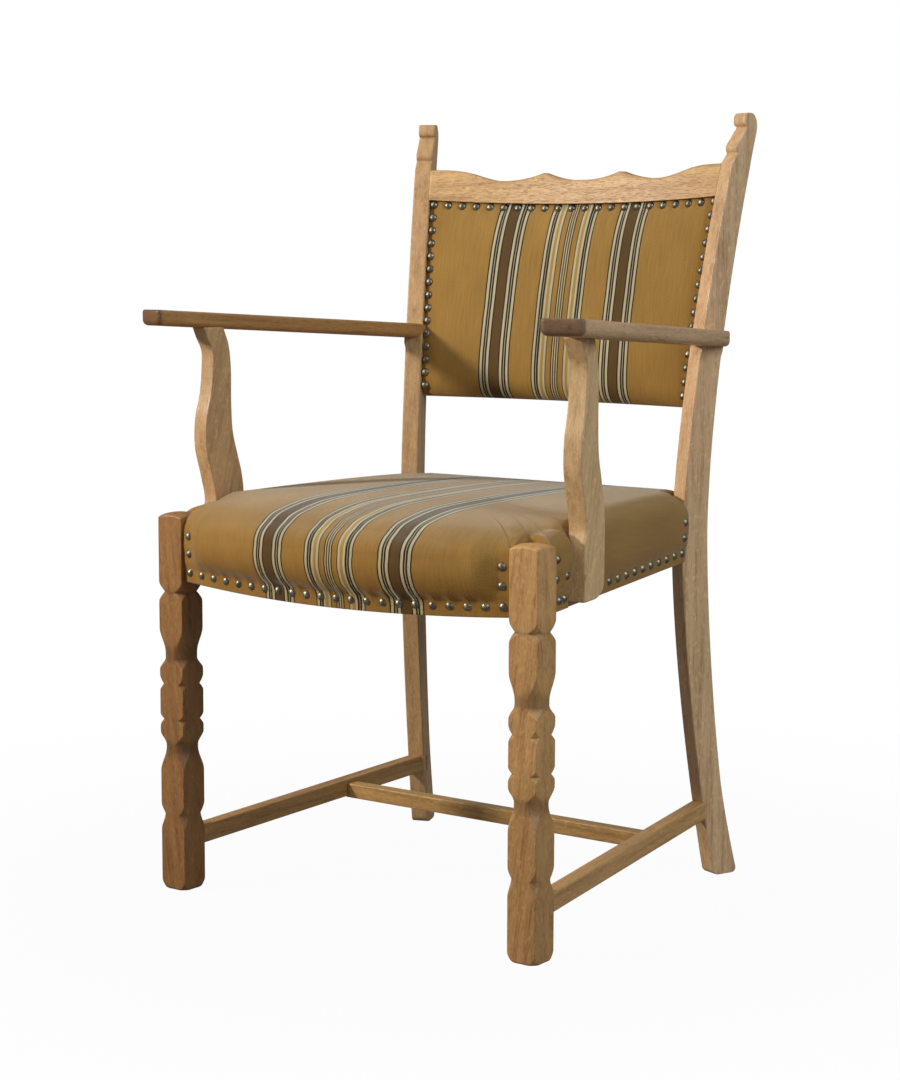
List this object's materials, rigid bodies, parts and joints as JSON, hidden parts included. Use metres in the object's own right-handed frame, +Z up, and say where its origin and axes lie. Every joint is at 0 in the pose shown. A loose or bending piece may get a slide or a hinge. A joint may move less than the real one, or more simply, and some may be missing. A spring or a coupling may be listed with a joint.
{
  "type": "upholstered armchair",
  "caption": "Carved oak armchair with turned front legs, raked back posts, a scalloped crest rail, flat armrests and a nailed striped seat and back.",
  "frame": {"origin": "the middle of the chair's footprint, on the floor", "axes": "+Z up; -Y is the way the sitter faces; +X is to the right of someone who looks along +Y"},
  "size_m": [0.5906, 0.514, 0.876],
  "materials": {
    "oak": "oiled oak with fine grain and rays",
    "beech": "plain sawn beech inside the upholstery",
    "striped_cloth": "gold twill with woven stripes",
    "stuffing": "cotton wadding over fibre",
    "webbing": "jute webbing",
    "bottom_cloth": "thin black cotton cloth",
    "bronze": "aged bronze nail heads",
    "steel": "plain steel wood screws"
  },
  "bodies": {
    "root": {"front_leg_left": "oak", "front_leg_right": "oak", "back_post_left": "oak", "back_post_right": "oak", "crest_rail": "oak", "seat_rail_front": "beech", "seat_rail_left": "beech", "seat_rail_right": "beech", "seat_rail_rear": "beech", "corner_block_front_left": "beech", "corner_block_front_right": "beech", "corner_block_rear_left": "beech", "corner_block_rear_right": "beech", "side_stretcher_left": "oak", "side_stretcher_right": "oak", "cross_stretcher": "oak", "arm_support_left": "oak", "arm_support_right": "oak", "armrest_left": "oak", "armrest_right": "oak", "back_frame_top": "beech", "back_frame_bottom": "beech", "back_frame_left": "beech", "back_frame_right": "beech", "seat_webbing": "webbing", "seat_padding": "stuffing", "seat_cover": "striped_cloth", "bottom_cloth": "bottom_cloth", "back_webbing": "webbing", "back_padding": "stuffing", "back_cover_front": "striped_cloth", "back_cover_rear": "striped_cloth", "seat_front_nails": "bronze", "seat_side_nails": "bronze", "seat_rear_nails": "bronze", "back_front_nails": "bronze", "back_rear_nails": "bronze", "corner_screws": "steel", "support_screws": "steel", "back_frame_screws": "steel", "arm_dowels": "beech"}
  },
  "joints": []
}
